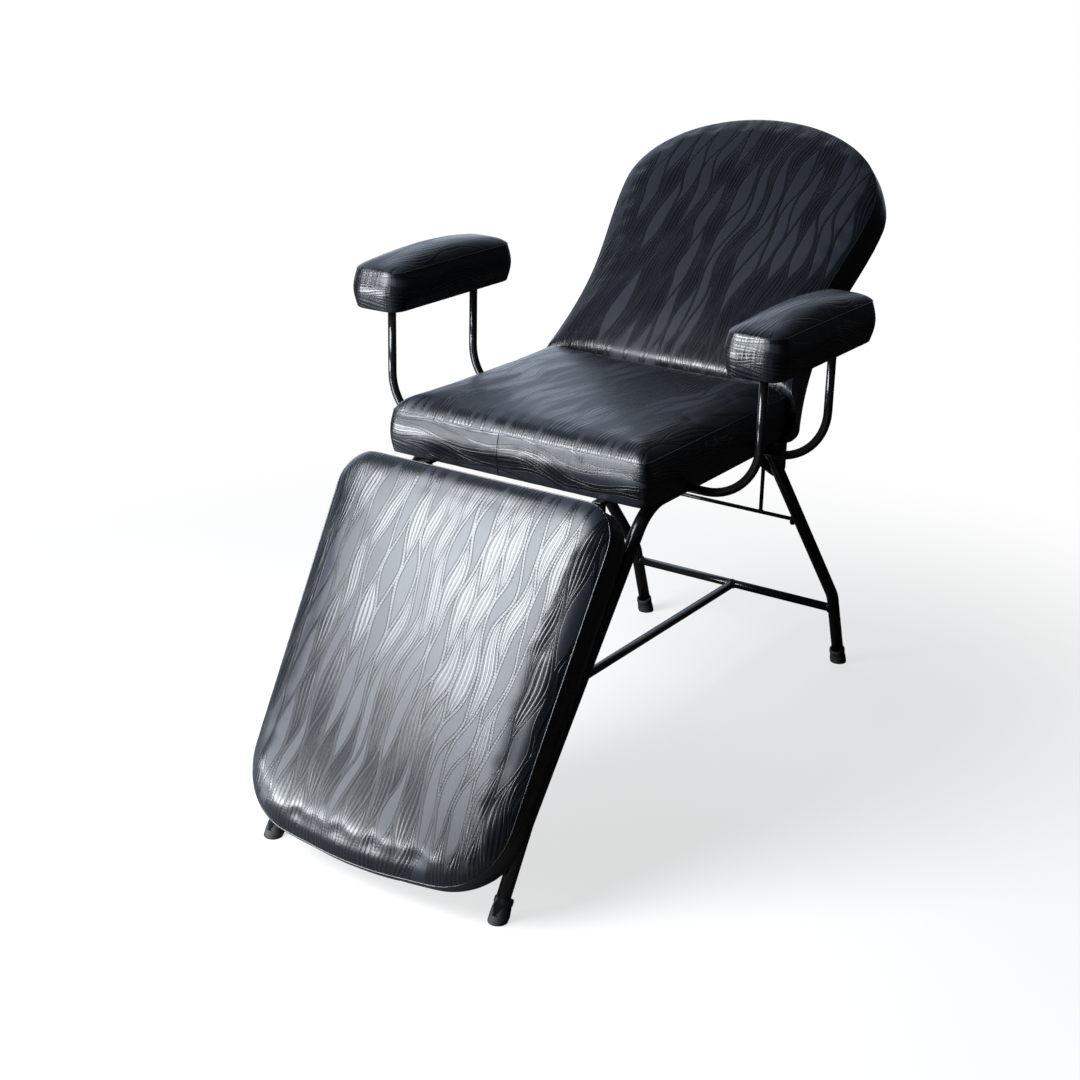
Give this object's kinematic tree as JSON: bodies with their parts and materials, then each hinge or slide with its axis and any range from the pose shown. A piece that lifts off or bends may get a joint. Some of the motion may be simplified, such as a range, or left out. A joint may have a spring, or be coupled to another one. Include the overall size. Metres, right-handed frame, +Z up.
{
  "type": "treatment table",
  "caption": "Black upholstered reclining treatment table with leg rest, seat, back and padded arms on a bent steel tube frame.",
  "frame": {"origin": "on the floor, under the middle of the object's box", "axes": "+X towards the sitter's left, +Y towards the back, +Z up"},
  "size_m": [0.908, 1.469, 1.1355],
  "materials": {
    "vinyl": "satin",
    "paint": "gloss",
    "rubber": "matte",
    "plywood": "matte",
    "steel": "satin",
    "plastic": "matte"
  },
  "bodies": {
    "frame": {"front_leg_and_rail_left": "paint", "front_leg_and_rail_right": "paint", "rear_leg_left": "paint", "rear_leg_right": "paint", "front_cross_bar": "paint", "rear_cross_bar": "paint", "centre_stretcher": "paint", "seat_front_tube": "paint", "seat_rear_tube": "paint", "front_foot_left": "rubber", "front_foot_right": "rubber", "rear_foot_left": "rubber", "rear_foot_right": "rubber", "rail_plug_left": "plastic", "rail_plug_right": "plastic", "seat_board": "plywood", "seat_cushion": "vinyl", "seat_bolt_front_left": "steel", "seat_bolt_front_right": "steel", "seat_bolt_rear_left": "steel", "seat_bolt_rear_right": "steel", "arm_post_front_left": "paint", "arm_post_rear_left": "paint", "arm_post_front_right": "paint", "arm_post_rear_right": "paint", "arm_plate_left": "paint", "arm_plate_right": "paint", "arm_board_left": "plywood", "arm_board_right": "plywood", "arm_pad_left": "vinyl", "arm_pad_right": "vinyl", "back_hinge_plate_left": "paint", "back_hinge_plate_right": "paint", "back_hinge_pin_left": "steel", "back_hinge_pin_right": "steel", "leg_hinge_seat_leaf_left": "paint", "leg_hinge_seat_leaf_right": "paint", "leg_hinge_pin_left": "steel", "leg_hinge_pin_right": "steel", "prop_lug_left": "paint", "prop_lug_right": "paint"},
    "backrest": {"back_board": "plywood", "back_cushion": "vinyl", "back_hinge_arm_left": "paint", "back_hinge_arm_right": "paint", "prop_strip_left": "steel", "prop_strip_right": "steel"},
    "leg_rest": {"leg_board": "plywood", "leg_cushion": "vinyl", "leg_hinge_leg_leaf_left": "paint", "leg_hinge_leg_leaf_right": "paint", "leg_bumper_left": "rubber", "leg_bumper_right": "rubber"},
    "back_prop": {"prop_foot_rod": "paint", "prop_top_bar": "paint", "prop_upright_left": "paint", "prop_upright_right": "paint"}
  },
  "joints": [
    {"name": "back_recline", "type": "hinge", "parent": "frame", "child": "backrest", "pos_m": [0, 0.29452, 0.6032], "axis": [1, 0, 0], "range_deg": [-45, 0]},
    {"name": "leg_rest_lift", "type": "hinge", "parent": "frame", "child": "leg_rest", "pos_m": [0, -0.27948, 0.587], "axis": [-1, 0, 0], "range_deg": [0, 59]},
    {"name": "prop_swing", "type": "hinge", "parent": "frame", "child": "back_prop", "pos_m": [0, 0.39648, 0.397], "axis": [1, 0, 0], "range_deg": [-47.81, 0]}
  ],
  "couplings": [
    {"joint": "prop_swing", "follows": "back_recline", "ratio": 1.0625}
  ]
}
